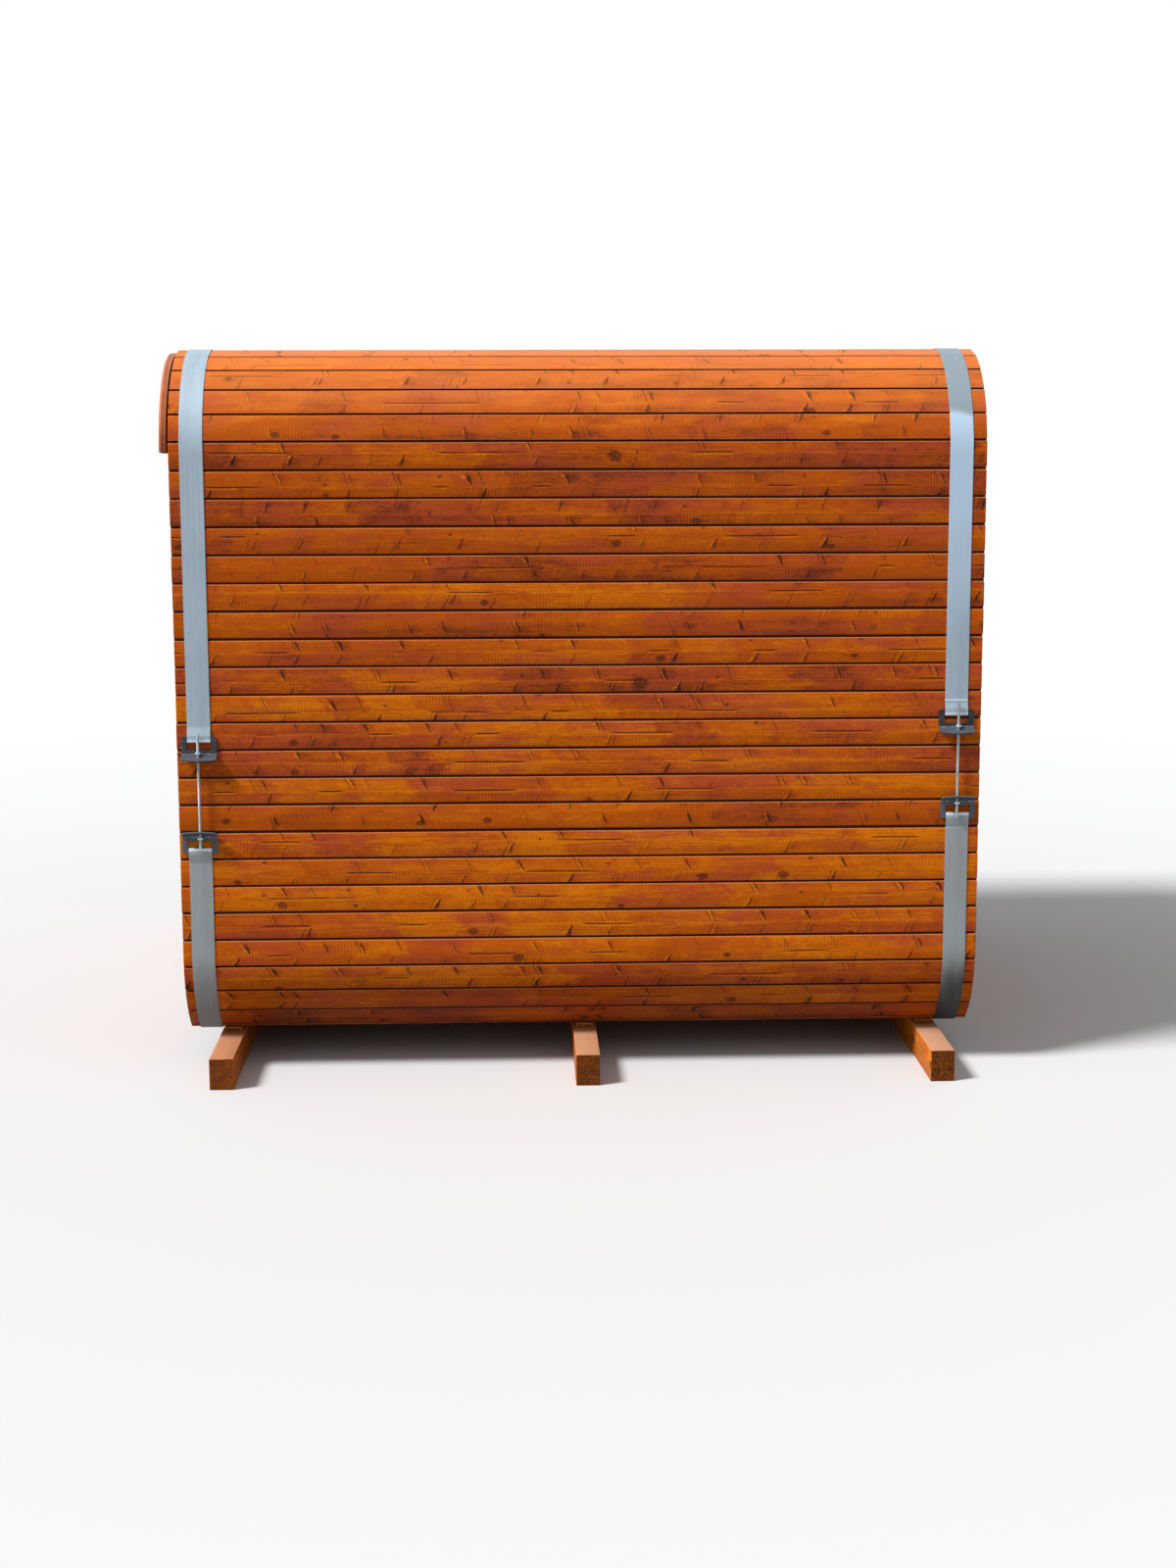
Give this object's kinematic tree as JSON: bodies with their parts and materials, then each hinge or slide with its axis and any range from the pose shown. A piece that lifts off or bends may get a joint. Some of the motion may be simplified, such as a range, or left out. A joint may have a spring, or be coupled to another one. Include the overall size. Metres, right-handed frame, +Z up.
{
  "type": "sauna pod",
  "caption": "Square sauna pod with rounded corners, a shell of lying timber staves held by steel straps with threaded tensioners, on cross bearers.",
  "frame": {"origin": "on the ground, under the middle of the whole pod's box", "axes": "+X along the staves from the door end to the rear end, +Y from the near long wall to the far one, +Z up"},
  "size_m": [2.654, 2.6936, 2.3711],
  "materials": {
    "stave_timber": "orange-brown stained softwood",
    "end_wall_timber": "orange-brown stained softwood",
    "joinery_timber": "orange-brown stained softwood",
    "trim_timber": "orange-brown stained softwood",
    "bearer_timber": "light stained softwood with darker end grain",
    "handle_timber": "oiled softwood",
    "strap_steel": "galvanised",
    "clamp_steel": "dark grey",
    "rod_steel": "zinc plated",
    "hinge_steel": "black",
    "door_glass": "clear"
  },
  "bodies": {
    "root": {"near_wall": "stave_timber", "far_wall": "stave_timber", "roof": "stave_timber", "floor": "stave_timber", "near_upper_corner": "stave_timber", "near_lower_corner": "stave_timber", "far_upper_corner": "stave_timber", "far_lower_corner": "stave_timber", "front_wall_near": "end_wall_timber", "front_wall_far": "end_wall_timber", "front_wall_over_door": "end_wall_timber", "back_wall": "end_wall_timber", "door_jambs": "joinery_timber", "door_head": "joinery_timber", "door_threshold": "joinery_timber", "door_stiles": "joinery_timber", "door_rails": "joinery_timber", "door_glass": "door_glass", "door_hinges": "hinge_steel", "door_handle": "handle_timber", "trim_near_corner": "trim_timber", "trim_far_corner": "trim_timber", "trim_top": "trim_timber", "bearer_front": "bearer_timber", "bearer_middle": "bearer_timber", "bearer_rear": "bearer_timber", "packers": "bearer_timber", "strap_front_upper": "strap_steel", "strap_front_lower": "strap_steel", "strap_rear_upper": "strap_steel", "strap_rear_lower": "strap_steel", "clamp_near_front_upper": "clamp_steel", "clamp_near_front_lower": "clamp_steel", "clamp_near_rear_upper": "clamp_steel", "clamp_near_rear_lower": "clamp_steel", "clamp_far_front_upper": "clamp_steel", "clamp_far_front_lower": "clamp_steel", "clamp_far_rear_upper": "clamp_steel", "clamp_far_rear_lower": "clamp_steel", "rod_near_front": "rod_steel", "rod_near_rear": "rod_steel", "rod_far_front": "rod_steel", "rod_far_rear": "rod_steel"}
  },
  "joints": []
}
